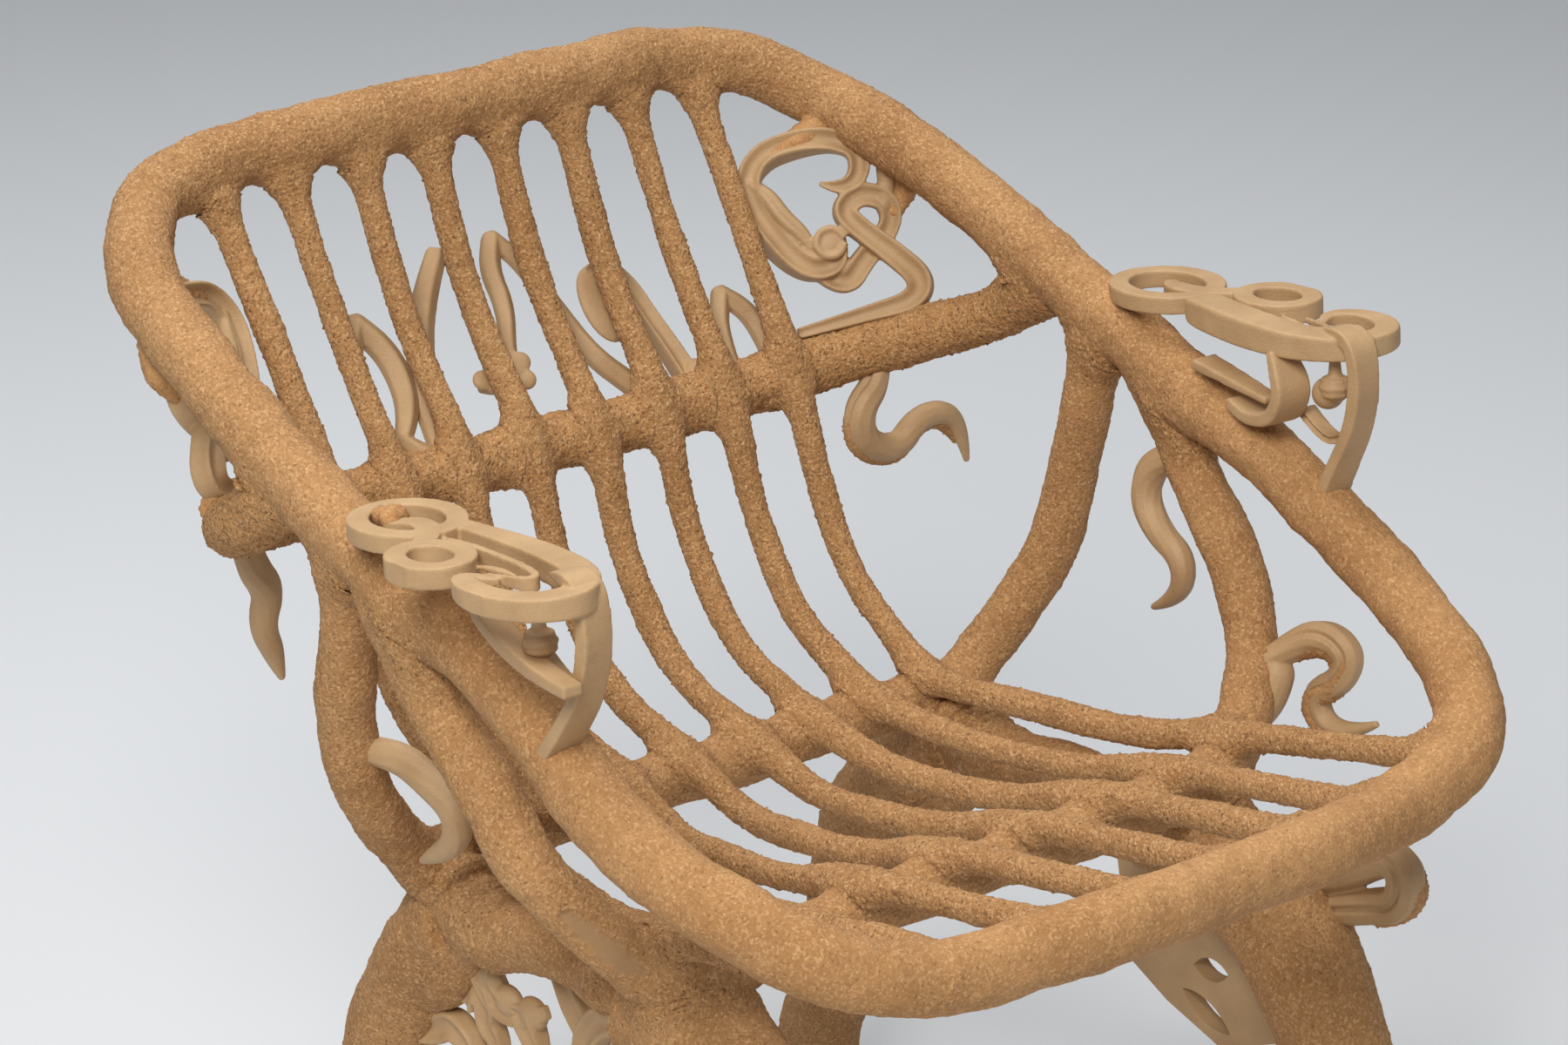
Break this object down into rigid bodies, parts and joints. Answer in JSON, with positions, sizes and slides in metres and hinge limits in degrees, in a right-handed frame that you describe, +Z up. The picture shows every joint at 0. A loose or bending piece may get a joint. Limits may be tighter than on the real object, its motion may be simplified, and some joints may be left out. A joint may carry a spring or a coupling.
{
  "type": "lounge chair",
  "caption": "Low open lounge chair of thick cork-paste members with a slatted scoop seat, a continuous rim for arms and back, arched legs and clay scroll ornament.",
  "frame": {"origin": "centre of the footprint of the whole chair, on the floor", "axes": "+Z up, the sitter faces -Y, +X to the right of a viewer who faces the back of the seat from the front"},
  "size_m": [0.7305, 0.8026, 0.778],
  "materials": {
    "cork_paste": "matt, granular",
    "clay": "smooth, unglazed, matt satin",
    "armature_steel": "bare mild steel"
  },
  "bodies": {
    "root": {"rim": "cork_paste", "slat_1": "cork_paste", "slat_2": "cork_paste", "slat_3": "cork_paste", "slat_4": "cork_paste", "slat_5": "cork_paste", "slat_6": "cork_paste", "slat_7": "cork_paste", "slat_8": "cork_paste", "lumbar_rail": "cork_paste", "rear_hoop": "cork_paste", "front_hoop": "cork_paste", "rear_leg_left": "cork_paste", "rear_leg_right": "cork_paste", "front_leg_left": "cork_paste", "front_leg_right": "cork_paste", "arch_bar_left": "cork_paste", "arch_bar_right": "cork_paste", "rim_core": "armature_steel", "lumbar_core": "armature_steel", "rear_hoop_core": "armature_steel", "front_hoop_core": "armature_steel", "slat_rods": "armature_steel", "leg_core_left": "armature_steel", "leg_core_right": "armature_steel", "leg_ties": "armature_steel", "arm_scroll_left": "clay", "arm_scroll_right": "clay", "arm_bracket_left": "clay", "arm_bracket_right": "clay", "back_scroll_left": "clay", "back_scroll_right": "clay", "row_leaf_loop": "clay", "row_tall_strap": "clay", "row_hook_strap": "clay", "row_leaf_strap": "clay", "row_small_strap": "clay", "lumbar_tendril_left": "clay", "lumbar_tendril_right": "clay", "hoop_tendril_inner": "clay", "hoop_tendril_outer": "clay", "hoop_tendril_left": "clay", "leg_loop": "clay", "arch_horn": "clay", "arch_leaf": "clay", "arch_curl": "clay", "arch_bow": "clay", "arch_web": "clay"}
  },
  "joints": []
}
